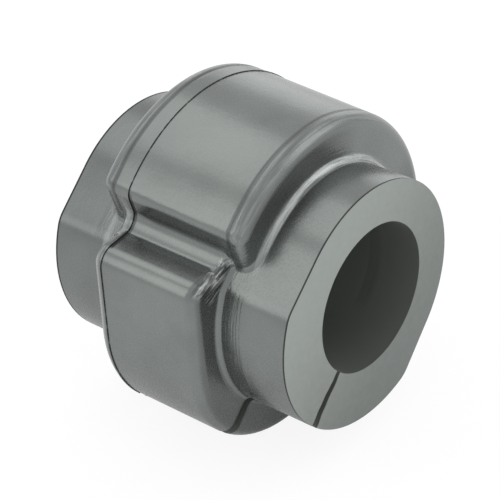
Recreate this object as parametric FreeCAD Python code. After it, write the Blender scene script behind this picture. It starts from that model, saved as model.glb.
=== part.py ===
import FreeCAD, Part
import math
import os

from FreeCAD import Vector

# A split rubber bushing for a sway bar, moulded in one piece.
# X runs along the bore. The section is drawn with its crown towards +Z and then rolled about X,
# so that one of its two seat flats faces down and the part lies on it.
# The origin is on the bore's axis, halfway along it.

# The bore and the sleeve around it, whose wall is thicker on the slit's side. The sleeve flares down
# to a rounded corner on each side, and the drop of that corner is from the bore's axis.
bore_radius = 12.5
length = 46.6
sleeve_wall = 6.9
sleeve_wall_by_slit = 9.35
sleeve_flare = 0.4
sleeve_corner_drop = 8.4
sleeve_corner_round = 5.0

# The dome, which the bracket's strap goes over. Its draft narrows it away from the parting line, its
# rise and its lips' drop are from the bore's axis, and the lips' underside slopes at the undercut.
dome_step = 7.0
dome_rise = 0.9
dome_draft = 1.6
dome_width = 28.0
dome_lip_drop = 1.1
dome_lip_round = 2.4
dome_edge_round = 2.2
undercut_angle = 28.6

# The groove along each side, between the dome and the block. Its round floor bites a little into
# the faces above and below it.
groove_step = 2.15
groove_round = 2.95
groove_bite = 0.1
groove_edge_bevel = 0.8

# The seat block, with a flat on each side and a round bottom. The shoulder is the ring of the dome's
# end face that stays flat between the round at its edge and the round in the crease.
shoulder_flat = 0.3
block_edge_round = 2.1
seat_step = 4.8
seat_angle = 45.0
seat_bulge = 2.0
ledge_angle = 50.0
ledge_round = 3.0

# The concave round in every crease between the sleeve, the dome and the block
root_round = 1.1

# The slit from the bore to the outside
slit_gap_at_bore = 1.0
slit_gap_outside = 1.9

# The thin raised bead of rubber where the two halves of the mould met
parting_inset = 2.1
flash_height = 0.15
flash_width = 0.3

# How far a cutting tool runs past the surface that it cuts through
overrun = 2.0

# The sleeve is outside the bore, and the dome, the groove's floor and the block outside the sleeve
sleeve_top_radius = bore_radius + sleeve_wall
sleeve_bottom_drop = bore_radius + sleeve_wall_by_slit
sleeve_half_width = sleeve_top_radius + sleeve_flare
dome_radius = sleeve_top_radius + dome_step
groove_half_width = sleeve_half_width + groove_step
seat_distance = sleeve_bottom_drop + seat_step
block_depth = seat_distance + seat_bulge
block_width = dome_width - 2 * (dome_edge_round + root_round + shoulder_flat)
parting_offset = parting_inset - block_width / 2

# The dome and the block run into the sleeve as far as this, where its wall hides them
hidden_half_width = (bore_radius + sleeve_top_radius) / 2

# The lip of the dome, and its underside, which falls inward at the undercut angle
lip_half_width = math.sqrt(dome_radius ** 2 - (dome_rise + dome_lip_drop) ** 2)
undercut = math.radians(undercut_angle)
ledge_slope = math.radians(ledge_angle)

# The groove's round floor bites a little into the dome's underside and into the block's ledge
groove_reach = groove_round - groove_bite
groove_centre_y = groove_half_width + groove_round
undercut_drop = dome_lip_drop + (lip_half_width - groove_centre_y) * math.tan(undercut)
groove_centre_drop = undercut_drop + groove_reach / math.cos(undercut)


def at(y, z):
    return Vector(0, y, z)


def mirrored(point):
    return at(-point.y, point.z)


def line(start, end):
    return Part.LineSegment(start, end).toShape()


def arc(start, middle, end):
    return Part.Arc(start, middle, end).toShape()


def prism(edges, width, growth=0.0):
    """A closed outline in the YZ plane, grown outward if asked, as a solid of the given width."""
    face = Part.Face(Part.Wire(edges))
    if growth > 0:
        face = face.makeOffset2D(growth, join=2)
    face.translate(Vector(-width / 2, 0, 0))
    return face.extrude(Vector(width, 0, 0))


def round_corner(solid, corner, radius):
    """Round the long edge nearest to a corner of the section, and its mirror image."""
    chosen = []
    for point in (corner, mirrored(corner)):
        chosen.append(min(solid.Edges, key=lambda edge: edge.CenterOfMass.distanceToPoint(point)))
    return solid.makeFillet(radius, chosen)


def end_edges(solid, width):
    """The edges of both end faces, apart from those that lie inside the sleeve."""
    chosen = []
    for edge in solid.Edges:
        box = edge.BoundBox
        on_end = box.XLength < 0.001 and abs(abs(box.XMin) - width / 2) < 0.001
        outside = max(abs(box.YMin), abs(box.YMax)) > hidden_half_width + 0.01
        if on_end and outside:
            chosen.append(edge)
    return chosen


def make_sleeve():
    """The tube that runs the full length: round on top, flaring to a corner, rounder below."""
    shoulder = at(sleeve_top_radius, 0)
    corner = at(sleeve_half_width, -sleeve_corner_drop)
    edges = [
        arc(mirrored(shoulder), at(0, sleeve_top_radius), shoulder),
        line(shoulder, corner),
        arc(corner, at(0, -sleeve_bottom_drop), mirrored(corner)),
        line(mirrored(corner), mirrored(shoulder)),
    ]
    return round_corner(prism(edges, length), corner, sleeve_corner_round)


def make_dome(width, growth=0.0, from_parting=0.0):
    """The slab under the strap: a crown with draft, whose lips overhang the grooves."""
    lip = at(lip_half_width, -dome_lip_drop)
    outward = at(math.cos(undercut), math.sin(undercut))
    inner = lip - outward * ((lip.y - hidden_half_width) / outward.y)
    outer = lip + outward * overrun
    above = at(outer.y, dome_rise + dome_radius + overrun)
    edges = [
        line(mirrored(inner), inner),
        line(inner, outer),
        line(outer, above),
        line(above, mirrored(above)),
        line(mirrored(above), mirrored(outer)),
        line(mirrored(outer), mirrored(inner)),
    ]
    shrink = math.tan(math.radians(dome_draft))
    middle_radius = dome_radius + growth - from_parting * shrink
    crown = Part.makeCone(
        middle_radius + width / 2 * shrink,
        middle_radius - width / 2 * shrink,
        width,
        Vector(-width / 2, 0, dome_rise),
        Vector(1, 0, 0),
    )
    # the cone's own seam goes to the bottom, where the slab has no crown
    crown.rotate(at(0, dome_rise), Vector(1, 0, 0), 180)
    slab = prism(edges, width, growth).common(crown).Solids[0]
    return round_corner(slab, lip, dome_lip_round + growth)


def groove_centre():
    return at(groove_centre_y, -groove_centre_drop)


def into_dome():
    """From the groove's centre square onto the dome's underside."""
    return at(-math.sin(undercut), math.cos(undercut))


def into_block():
    """From the groove's centre square onto the block's ledge."""
    return at(-math.sin(ledge_slope), -math.cos(ledge_slope))


def make_block(width, growth=0.0):
    """The seat block: a ledge below each groove, a seat flat on each side and a round bottom."""
    tilt = math.radians(seat_angle)
    seat_normal = at(math.sin(tilt), -math.cos(tilt))
    # the ledge runs outward and down past the groove's floor until it meets the seat flat
    ledge = at(math.cos(ledge_slope), -math.sin(ledge_slope))
    start = groove_centre() + into_block() * groove_reach
    corner = start + ledge * ((seat_distance - start.dot(seat_normal)) / ledge.dot(seat_normal))
    inner = start - ledge * ((start.y - hidden_half_width) / ledge.y)
    # the round bottom runs into both seat flats without a corner
    bottom_centre = at(0, -seat_bulge / (1 - math.cos(tilt)))
    heel = bottom_centre + seat_normal * (block_depth + bottom_centre.z)
    edges = [
        line(mirrored(inner), inner),
        line(inner, corner),
        line(corner, heel),
        arc(heel, at(0, -block_depth), mirrored(heel)),
        line(mirrored(heel), mirrored(corner)),
        line(mirrored(corner), mirrored(inner)),
    ]
    return round_corner(prism(edges, width, growth), corner, ledge_round + growth)


def make_neck(width, growth=0.0):
    """The round floor of each groove: a slab from inside the block up into the dome."""
    centre = groove_centre()
    upper = centre + into_dome() * groove_round
    lower = centre + into_block() * groove_round
    top = at(upper.y, 0)
    bottom = lower + into_block() * 2 * block_edge_round
    edges = [
        line(mirrored(top), top),
        line(top, upper),
        arc(upper, centre + at(-groove_round, 0), lower),
        line(lower, bottom),
        line(bottom, mirrored(bottom)),
        line(mirrored(bottom), mirrored(lower)),
        arc(mirrored(lower), mirrored(centre + at(-groove_round, 0)), mirrored(upper)),
        line(mirrored(upper), mirrored(top)),
    ]
    return prism(edges, width, growth)


def round_ends(solid, width, radius):
    return solid.makeFillet(radius, end_edges(solid, width))


def bevel_sides(neck):
    """A bevel round both ends of each groove's floor."""
    curved = [edge for edge in end_edges(neck, block_width) if isinstance(edge.Curve, Part.Circle)]
    return neck.makeChamfer(groove_edge_bevel, curved)


def lies_on(edge, skin):
    """Whether an edge runs along a surface, tried at three points."""
    span = edge.LastParameter - edge.FirstParameter
    for share in (0.1, 0.5, 0.9):
        point = edge.valueAt(edge.FirstParameter + share * span)
        if Part.Vertex(point).distToShape(skin)[0] > 0.001:
            return False
    return True


def make_body():
    """The slabs as one body, with a concave round along every crease between them."""
    sleeve = make_sleeve()
    dome = round_ends(make_dome(dome_width, from_parting=-parting_offset), dome_width, dome_edge_round)
    block = round_ends(make_block(block_width), block_width, block_edge_round)
    neck = bevel_sides(make_neck(block_width))
    body = sleeve.fuse([dome, block, neck]).removeSplitter().Solids[0]
    creases = []
    for edge in body.Edges:
        touched = [slab for slab in (sleeve, dome, block, neck) if lies_on(edge, slab.Shells[0])]
        # the ledges fade into the rounded ends of the block, so only their long creases count
        short_ledge = touched == [block, neck] and edge.BoundBox.XLength < block_width / 2
        if len(touched) > 1 and not short_ledge:
            creases.append(edge)
    return body.makeFillet(root_round, creases)


def make_flash():
    """The bead along the parting line: the same outlines, grown by the height of the bead."""
    slabs = []
    for make in (make_dome, make_block, make_neck):
        slabs.append(make(flash_width, flash_height))
    flash = slabs[0].fuse(slabs[1:])
    flash.translate(Vector(parting_offset, 0, 0))
    return flash


def make_bore():
    start = Vector(-length / 2 - overrun, 0, 0)
    return Part.makeCylinder(bore_radius, length + 2 * overrun, start, Vector(1, 0, 0))


def make_slit():
    """The wedge of air that opens the bore through the bottom of the block."""
    flare = (slit_gap_outside - slit_gap_at_bore) / 2 / (block_depth - bore_radius)
    top = -bore_radius + overrun
    bottom = -block_depth - overrun
    half_top = slit_gap_at_bore / 2 - flare * overrun
    half_bottom = slit_gap_outside / 2 + flare * overrun
    edges = [
        line(at(-half_top, top), at(half_top, top)),
        line(at(half_top, top), at(half_bottom, bottom)),
        line(at(half_bottom, bottom), at(-half_bottom, bottom)),
        line(at(-half_bottom, bottom), at(-half_top, top)),
    ]
    return prism(edges, length + 2 * overrun)


def make_bushing():
    bushing = make_body().fuse(make_flash())
    bushing = bushing.cut([make_bore(), make_slit()])
    bushing.rotate(Vector(0, 0, 0), Vector(1, 0, 0), -seat_angle)
    return bushing


os.makedirs("parts", exist_ok=True)
make_bushing().exportStep("parts/bushing.step")
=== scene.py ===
import math

import bmesh
import bpy
from mathutils import Matrix, Vector, noise


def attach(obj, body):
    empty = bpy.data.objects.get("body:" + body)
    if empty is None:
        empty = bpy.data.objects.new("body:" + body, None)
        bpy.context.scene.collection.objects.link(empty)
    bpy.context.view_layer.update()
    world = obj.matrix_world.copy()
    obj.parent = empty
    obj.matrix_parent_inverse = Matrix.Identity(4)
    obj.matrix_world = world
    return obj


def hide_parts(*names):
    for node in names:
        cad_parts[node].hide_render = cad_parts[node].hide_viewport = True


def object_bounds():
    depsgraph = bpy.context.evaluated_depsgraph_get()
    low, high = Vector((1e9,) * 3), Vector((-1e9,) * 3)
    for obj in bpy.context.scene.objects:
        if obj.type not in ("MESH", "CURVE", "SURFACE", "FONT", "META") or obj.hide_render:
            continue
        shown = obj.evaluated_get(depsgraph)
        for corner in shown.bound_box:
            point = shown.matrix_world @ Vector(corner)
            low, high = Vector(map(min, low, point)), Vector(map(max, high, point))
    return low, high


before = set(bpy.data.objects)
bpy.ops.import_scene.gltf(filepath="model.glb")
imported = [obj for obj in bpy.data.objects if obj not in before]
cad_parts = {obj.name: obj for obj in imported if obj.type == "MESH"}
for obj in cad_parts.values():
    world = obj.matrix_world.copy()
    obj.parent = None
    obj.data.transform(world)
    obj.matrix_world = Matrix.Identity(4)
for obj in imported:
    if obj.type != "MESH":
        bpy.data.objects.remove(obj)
cad_box = [list(corner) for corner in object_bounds()]


# The bushing: one piece of satin grey-black rubber, pressed in a two-part mould and slit through
# to the bore with a knife. It takes its form from the CAD solid, whose triangles are joined here.
MM = 0.001
DIAGONAL = math.sqrt(0.5)
rubber_form = bmesh.new()
rubber_form.from_mesh(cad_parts["bushing"].data)
bmesh.ops.remove_doubles(rubber_form, verts=rubber_form.verts, dist=0.001 * MM)
bmesh.ops.dissolve_limit(
    rubber_form,
    angle_limit=math.radians(0.05),
    use_dissolve_boundaries=False,
    verts=rubber_form.verts,
    edges=rubber_form.edges,
)


def crown_drop(point):
    """How far a point is from the bore's axis, towards the slit."""
    return -(point.y + point.z) * DIAGONAL


def at_slit_edge(edge):
    """Whether an edge runs down an end face, along one side of the slit."""
    start, end = [corner.co for corner in edge.verts]
    on_end = min(abs(start.x), abs(end.x)) > 23.2 * MM and abs(start.x - end.x) < 1 * MM
    near_slit = max(abs(start.y - start.z), abs(end.y - end.z)) < 1.5 * MM
    return on_end and near_slit and (end - start).length > 5 * MM


# the knife ran a little unevenly where it came out at both ends: it wandered and tore the edges
WANDER = 0.35 * MM
TEAR = 0.12 * MM
slit_edges = [edge for edge in rubber_form.edges if at_slit_edge(edge)]
new_parts = bmesh.ops.bisect_edges(rubber_form, edges=slit_edges, cuts=30)["geom_split"]
for point in [part.co for part in new_parts if isinstance(part, bmesh.types.BMVert)]:
    way_down = crown_drop(point) / MM
    wander = noise.noise(Vector((way_down * 0.45, 0.0, math.copysign(7, point.x))))
    tear = noise.noise(Vector((way_down * 2.5, 0.0, (point.y - point.z) / MM * 3)))
    shift = wander * WANDER + tear * TEAR
    point += Vector((0, shift, -shift)) * DIAGONAL

rubber_mesh = bpy.data.meshes.new("bushing_rubber")
rubber_form.to_mesh(rubber_mesh)
rubber_form.free()
rubber_body = bpy.data.objects.new("bushing_rubber", rubber_mesh)
bpy.context.scene.collection.objects.link(rubber_body)
rubber_mesh.shade_smooth()
rubber_mesh.set_sharp_from_angle(angle=math.radians(32))
flat_faces_win = rubber_body.modifiers.new("flat_faces_win", "WEIGHTED_NORMAL")
flat_faces_win.keep_sharp = True
flat_faces_win.weight = 50
flat_faces_win.mode = "FACE_AREA"


class Wire:
    """One output of a shader node. Sums and products of wires and numbers become Math nodes."""

    def __init__(self, tree, socket=None):
        self.tree = tree
        self.socket = socket

    def node(self, kind, settings, sockets, output=0):
        """A new node: its settings are set first, then the values or wires of its sockets."""
        made = self.tree.nodes.new("ShaderNode" + kind)
        for name, value in settings.items():
            setattr(made, name, value)
        for name, value in sockets.items():
            if isinstance(value, Wire):
                self.tree.links.new(value.socket, made.inputs[name])
            else:
                made.inputs[name].default_value = value
        return Wire(self.tree, made.outputs[output] if made.outputs else None)

    def math(self, operation, first, second):
        return self.node("Math", {"operation": operation}, {0: first, 1: second})

    def __add__(self, other):
        return self.math("ADD", self, other)

    def __sub__(self, other):
        return self.math("SUBTRACT", self, other)

    def __rsub__(self, other):
        return self.math("SUBTRACT", other, self)

    def __mul__(self, other):
        return self.math("MULTIPLY", self, other)

    __radd__ = __add__
    __rmul__ = __mul__

    def axis(self, name):
        """One of the three coordinates of a place."""
        return self.node("SeparateXYZ", {}, {"Vector": self}, output=name)

    def rise(self, low, high):
        """0 below the low value, 1 above the high one, and a soft step between them."""
        settings = {"interpolation_type": "SMOOTHSTEP"}
        return self.node("MapRange", settings, {"Value": self, "From Min": low, "From Max": high})

    def fall(self, low, high):
        return 1.0 - self.rise(low, high)

    def rise_mm(self, low, high):
        return self.rise(low * MM, high * MM)

    def fall_mm(self, low, high):
        return self.fall(low * MM, high * MM)

    def texture(self, scale, detail, roughness):
        """Soft noise over a place, with so many features in a metre."""
        sockets = {"Vector": self, "Scale": scale, "Detail": detail, "Roughness": roughness}
        return self.node("TexNoise", {}, sockets)

    def blend(self, none, full):
        """A colour that goes from the first to the second as this value goes from 0 to 1."""
        return self.node("Mix", {"data_type": "RGBA"}, {"Factor": self, 6: none, 7: full}, output=2)


def new_material(name):
    """An empty material, and the wire that its nodes are added from."""
    material = bpy.data.materials.new(name)
    material.use_nodes = True
    material.node_tree.nodes.clear()
    return material, Wire(material.node_tree)


rubber, start = new_material("moulded_rubber")
place = start.node("TexCoord", {}, {}, output="Object")
x = place.axis("X")
y = place.axis("Y")
z = place.axis("Z")
along_bore = start.math("ABSOLUTE", x, 0.0)
from_axis = start.math("SQRT", y * y + z * z, 0.0)
crown_way = (y + z) * DIAGONAL
side_way = (y - z) * DIAGONAL
round_axis = start.math("ARCTAN2", side_way, crown_way)

# where the form's edges lie, in mm: along the bore from the middle, and out from its axis
SLEEVE_END = 23.3
DOME_END = 14.0
BLOCK_END = 10.4
PARTING = -8.3
BORE = 12.5

# the fine and the coarser grain of the mould, and soft clouds where the skin is a little lighter
grain = place.texture(2000.0, 3.0, 0.6)
clouds = place.texture(130.0, 3.0, 0.5)
leather = place.texture(800.0, 2.0, 0.5)

# the mould's end plates were turned on a lathe, so that fine rings run round the dome's ends;
# fainter rings over the round at their edge are painted paler, as a painted highlight
ring_axes = {"X": along_bore, "Y": from_axis, "Z": round_axis * 0.0012}
rings = start.node("CombineXYZ", {}, ring_axes).texture(2600.0, 2.0, 0.6)
on_plates = along_bore.rise_mm(11.1, 11.5) * along_bore.fall_mm(14.6, 15.8)
on_plates = on_plates * from_axis.rise_mm(18, 19)
round_highlight = along_bore.rise_mm(11.6, 12.2) * along_bore.fall_mm(13.4, 13.9)
round_highlight = round_highlight * from_axis.rise_mm(23.0, 24.5)

# a line where the end plate met the mould's middle part
outside_sleeve = from_axis.rise_mm(21.5, 22.5)
plate_line = along_bore.rise_mm(BLOCK_END + 0.3, BLOCK_END + 0.8) * outside_sleeve
plate_line = plate_line * along_bore.fall_mm(BLOCK_END + 0.9, BLOCK_END + 1.5)

# painted shade: the creases beside the dome's ends are painted darker and matter, away from the
# crown
beside_crown = start.math("ABSOLUTE", round_axis, 0.0).rise(math.radians(15), math.radians(45))
dome_crease_shade = along_bore.rise_mm(13.3, 13.9) * along_bore.fall_mm(17.5, 19.5)
dome_crease_shade = dome_crease_shade * from_axis.fall_mm(24.0, 25.5) * beside_crown * crown_way.rise_mm(-3, 3)

# painted shade too under the dome's lips, on the ledges in the grooves and on the block's end faces
sideways = start.math("ABSOLUTE", side_way, 0.0)
under_lip_shade = crown_way.rise_mm(-3.8, -3.0) * crown_way.fall_mm(-1.9, -1.1)
under_lip_shade = under_lip_shade * sideways.rise_mm(21.5, 22.5) * sideways.fall_mm(24.9, 25.5)
ledge_shade = crown_way.rise_mm(-9.9, -9.2) * crown_way.fall_mm(-7.6, -7.0)
ledge_shade = ledge_shade * sideways.rise_mm(22.0, 22.8) * sideways.fall_mm(24.6, 25.4)
groove_shade = (under_lip_shade + ledge_shade) * along_bore.fall_mm(8.5, 10.5)
block_end_shade = along_bore.rise_mm(BLOCK_END - 0.6, BLOCK_END - 0.1)
block_end_shade = block_end_shade * along_bore.fall_mm(BLOCK_END + 0.05, BLOCK_END + 0.2)
block_end_shade = block_end_shade * crown_way.fall_mm(-10, -7) * from_axis.rise_mm(21, 22.5)

# streaks pulled out of the skin where the block's corners left the mould, with painted light and
# shade
across_pull = sideways * 0.9 + crown_way * 0.436
along_pull = crown_way * 0.9 - sideways * 0.436
pull_axes = {"X": along_bore, "Y": across_pull, "Z": along_pull * 0.07}
pulls = start.node("CombineXYZ", {}, pull_axes).texture(2400.0, 2.0, 0.6)
on_corner = along_bore.rise_mm(8.9, 9.8) * along_bore.fall_mm(10.9, 11.6)
on_corner = on_corner * crown_way.rise_mm(-12.0, -10.5) * crown_way.fall_mm(-5.0, -3.5)
on_corner = on_corner * sideways.rise_mm(20.0, 21.0) * sideways.fall_mm(24.8, 26.0)

# drag marks along the dome, from sliding out of the mould
drags = start.node("CombineXYZ", {}, {"X": x * 0.1, "Y": y, "Z": z}).texture(1500.0, 2.0, 0.5)
on_dome = from_axis.rise_mm(25.0, 26.0) * along_bore.fall_mm(10.5, 11.0)

# painted shade along the near side of the parting bead, broken up by noise, and wider in the
# grooves
tears = place.texture(600.0, 2.0, 0.6)
against_bead = x.rise_mm(PARTING + 0.05, PARTING + 0.15)
bead_shade = against_bead * x.fall_mm(PARTING + 0.25, PARTING + 0.4) * tears.rise(0.35, 0.5)
fold_shade = against_bead * x.fall_mm(PARTING + 0.6, PARTING + 0.9) * from_axis.fall_mm(26.5, 27.0)
fold_shade = fold_shade * crown_way.rise_mm(-11.0, -9.0) * crown_way.fall_mm(-1.5, -0.5)
bead_shade = bead_shade + fold_shade

# a painted highlight on the far half's rounds, and painted shade, darker and matter, over that half
far_rim_highlight = x.rise_mm(-10.3, -9.9) * x.fall_mm(-9.2, -8.5) * crown_way.fall_mm(-3.0, -1.5)
far_rim_highlight = far_rim_highlight + x.rise_mm(-13.9, -13.5) * x.fall_mm(-13.2, -12.4)
far_half_shade = x.fall_mm(-16.0, -4.0)

# a painted highlight: a pale, ringed line on the round at the bottom of each crease
root = along_bore.rise_mm(DOME_END - 0.02, DOME_END + 0.05)
root = root * along_bore.fall_mm(DOME_END + 0.9, DOME_END + 1.3)
root = root * from_axis.fall_mm(20.3, 20.8) * from_axis.rise_mm(18, 19)

# the cut ends, the bore and the cut slit are all matter than the outer skin
cut_end = along_bore.rise_mm(SLEEVE_END - 0.04, SLEEVE_END - 0.01)
in_bore = from_axis.fall_mm(BORE + 0.02, BORE + 0.1)
in_slit = sideways.fall_mm(1.1, 1.3) * crown_way.fall_mm(-12.3, -12.2)
inside = start.math("MAXIMUM", in_bore, in_slit) * (1.0 - cut_end)
# painted shade: a thin dark band on the skin just beside each cut end
cut_edge_shade = along_bore.rise_mm(SLEEVE_END - 0.4, SLEEVE_END - 0.25) * (1.0 - cut_end)
cut_edge_shade = cut_edge_shade * from_axis.rise_mm(13, 14)

dark_rubber = (0.020, 0.022, 0.021, 1.0)
light_rubber = (0.048, 0.053, 0.050, 1.0)
cut_rubber = (0.055, 0.061, 0.056, 1.0)
painted_lit_cut_rubber = (0.2, 0.22, 0.205, 1.0)
bore_rubber = (0.095, 0.103, 0.092, 1.0)
painted_highlight = (0.42, 0.44, 0.43, 1.0)
# painted light: the cut ends are painted paler towards the top and the -y side, with random tone
# from the grain
painted_end_light = (z * 0.8 - y * 0.6).rise_mm(-18, 20) + (leather - 0.5) * 0.3
skin = clouds.rise(0.3, 0.7).blend(dark_rubber, light_rubber)
# painted highlights in the skin's colour: on the creases' roots, the block's corner streaks, the
# rounds of the dome's ends and the far rims
skin = (root * rings.rise(0.3, 0.6) * crown_way.rise_mm(-8, 8)).blend(skin, painted_highlight)
skin = (on_corner * pulls.rise(0.48, 0.62) * 0.75).blend(skin, painted_highlight)
skin = (round_highlight * rings.rise(0.45, 0.65) * 0.2).blend(skin, painted_highlight)
skin = (far_rim_highlight * 0.4 * from_axis.rise_mm(18, 19)).blend(skin, painted_highlight)
skin = cut_end.blend(skin, painted_end_light.blend(cut_rubber, painted_lit_cut_rubber))
colour = inside.blend(skin, bore_rubber)

# how far each mark stands out, in mm
heights = grain * 0.007 + leather * 0.014 + rings * on_plates * 0.05 - plate_line * 0.05
heights = heights + pulls * on_corner * 0.12 + drags * on_dome * 0.008
bump = start.node("Bump", {}, {"Strength": 1.0, "Distance": MM, "Height": heights})
skin_roughness = 0.22 + grain * 0.1 + cut_end * 0.2 + inside * 0.2
surface = start.node(
    "BsdfPrincipled",
    {},
    {
        "Base Color": colour,
        "Roughness": skin_roughness,
        "IOR": 2.55,
        "Specular Tint": (0.935, 1.0, 0.965, 1.0),
        "Sheen Weight": 0.3,
        "Sheen Roughness": 0.2,
        "Normal": bump,
    },
)
# a dark matt rubber: the inside, the plate line, and the painted shade
line_and_shade_rubber = (0.02, 0.021, 0.02, 1.0)
matt_and_shade_colour = inside.blend(line_and_shade_rubber, bore_rubber)
matt_and_shade_sockets = {"Base Color": matt_and_shade_colour, "Roughness": 0.6, "IOR": 1.4, "Normal": bump}
matt_and_shade = start.node("BsdfPrincipled", {}, matt_and_shade_sockets)

# where the shine is lost: painted shade in the creases, in the grooves and on the block's ends, and
# the matt inside
matt_and_painted_shade = dome_crease_shade * (1.0 - root) * along_bore.fall_mm(15.0, 16.5) * 0.45
matt_and_painted_shade = matt_and_painted_shade + groove_shade * 0.4 + block_end_shade * 0.35 + inside * 0.6
# the dark lines: the plate line, and painted shade at the cut edges, beside the bead, between the
# corner streaks and over the far half
lines_and_painted_shade = plate_line * 0.5 + cut_edge_shade * 0.95 + bead_shade * 0.6
lines_and_painted_shade = lines_and_painted_shade + on_corner * pulls.fall(0.38, 0.5) * 0.6 + far_half_shade * 0.14
surface = start.node("MixShader", {}, {0: lines_and_painted_shade + matt_and_painted_shade, 1: surface, 2: matt_and_shade})
start.node("OutputMaterial", {}, {"Surface": surface})
rubber_mesh.materials.append(rubber)
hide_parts("bushing")
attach(rubber_body, "root")


# The table: a flat, matt white sheet under the bushing, big enough to fill the picture. The camera
# sees it white and reflections see it partly so, and it keeps the bushing's soft shadow.
table_height = cad_box[0][2]
sheet_form = bmesh.new()
bmesh.ops.create_grid(sheet_form, x_segments=1, y_segments=1, size=1.5)
bmesh.ops.translate(sheet_form, verts=sheet_form.verts, vec=Vector((0, 0, table_height)))
sheet_mesh = bpy.data.meshes.new("table")
sheet_form.to_mesh(sheet_mesh)
sheet_form.free()
table = bpy.data.objects.new("table", sheet_mesh)
bpy.context.scene.collection.objects.link(table)
paper, start = new_material("white_paper")
white = (1.0, 1.0, 1.0, 1.0)
seen_by_camera = start.node("LightPath", {}, {}, output="Is Camera Ray")
seen_in_gloss = start.node("LightPath", {}, {}, output="Is Glossy Ray")
matt = start.node("BsdfDiffuse", {}, {"Color": (0.95, 0.95, 0.95, 1.0)})
shadow_share = start.node("BsdfDiffuse", {}, {"Color": (0.15, 0.15, 0.15, 1.0)})
glow = start.node("Emission", {}, {"Color": white, "Strength": 0.88})
bright = start.node("AddShader", {}, {0: shadow_share, 1: glow})
seen_white = seen_by_camera + seen_in_gloss * 0.3
sheet_finish = start.node("MixShader", {}, {0: seen_white, 1: matt, 2: bright})
start.node("OutputMaterial", {}, {"Surface": sheet_finish})
sheet_mesh.materials.append(paper)


# The light: a white tent all round, and four soft panels: on the left, behind, on the right and
# close above the far end. They light the bushing but don't show in the picture.
tent = bpy.data.worlds.new("tent")
tent.use_nodes = True
tent.node_tree.nodes["Background"].inputs["Color"].default_value = white
tent.node_tree.nodes["Background"].inputs["Strength"].default_value = 0.85
bpy.context.scene.world = tent


def hang_panel(name, azimuth, elevation, away, wide, high, extra_brightness):
    """A panel of soft light that faces the bushing, so many times as bright as white."""
    panel_light = bpy.data.lights.new(name, "AREA")
    panel_light.shape = "RECTANGLE"
    panel_light.size = wide
    panel_light.size_y = high
    panel_light.energy = extra_brightness * math.pi * wide * high
    panel = bpy.data.objects.new(name, panel_light)
    panel.visible_camera = False
    turn, rise = math.radians(azimuth), math.radians(elevation)
    level = math.cos(rise)
    outward = Vector((level * math.cos(turn), level * math.sin(turn), math.sin(rise)))
    panel.location = outward * away
    panel.rotation_euler = outward.to_track_quat("Z", "Y").to_euler()
    bpy.context.scene.collection.objects.link(panel)


hang_panel("left_panel", -125, 33, away=0.35, wide=0.14, high=0.24, extra_brightness=0.94)
hang_panel("rear_panel", 123, 8, away=0.6, wide=0.4, high=0.3, extra_brightness=0.65)
hang_panel("right_panel", 44, 36, away=0.6, wide=0.4, high=0.4, extra_brightness=1.0)
hang_panel("top_panel", 175, 60, away=0.2, wide=0.14, high=0.1, extra_brightness=0.83)


# The camera: a long lens that looks down on the near end from the slit's side, rolled a little.
# The columns of its matrix are its right, up and back ways, and its place in metres.
camera_data = bpy.data.cameras.new("camera")
camera_data.lens = 158.28
camera_data.sensor_width = 36.0
camera_data.clip_start = 0.01
camera = bpy.data.objects.new("camera", camera_data)
camera.matrix_world = Matrix(
    (
        (0.77218, -0.32482, 0.5461, 0.19171),
        (0.63328, 0.46366, -0.61967, -0.2188),
        (-0.05192, 0.82433, 0.56373, 0.1984),
        (0.0, 0.0, 0.0, 1.0),
    )
)
bpy.context.scene.collection.objects.link(camera)
bpy.context.scene.camera = camera
bpy.context.scene.view_settings.view_transform = "Standard"
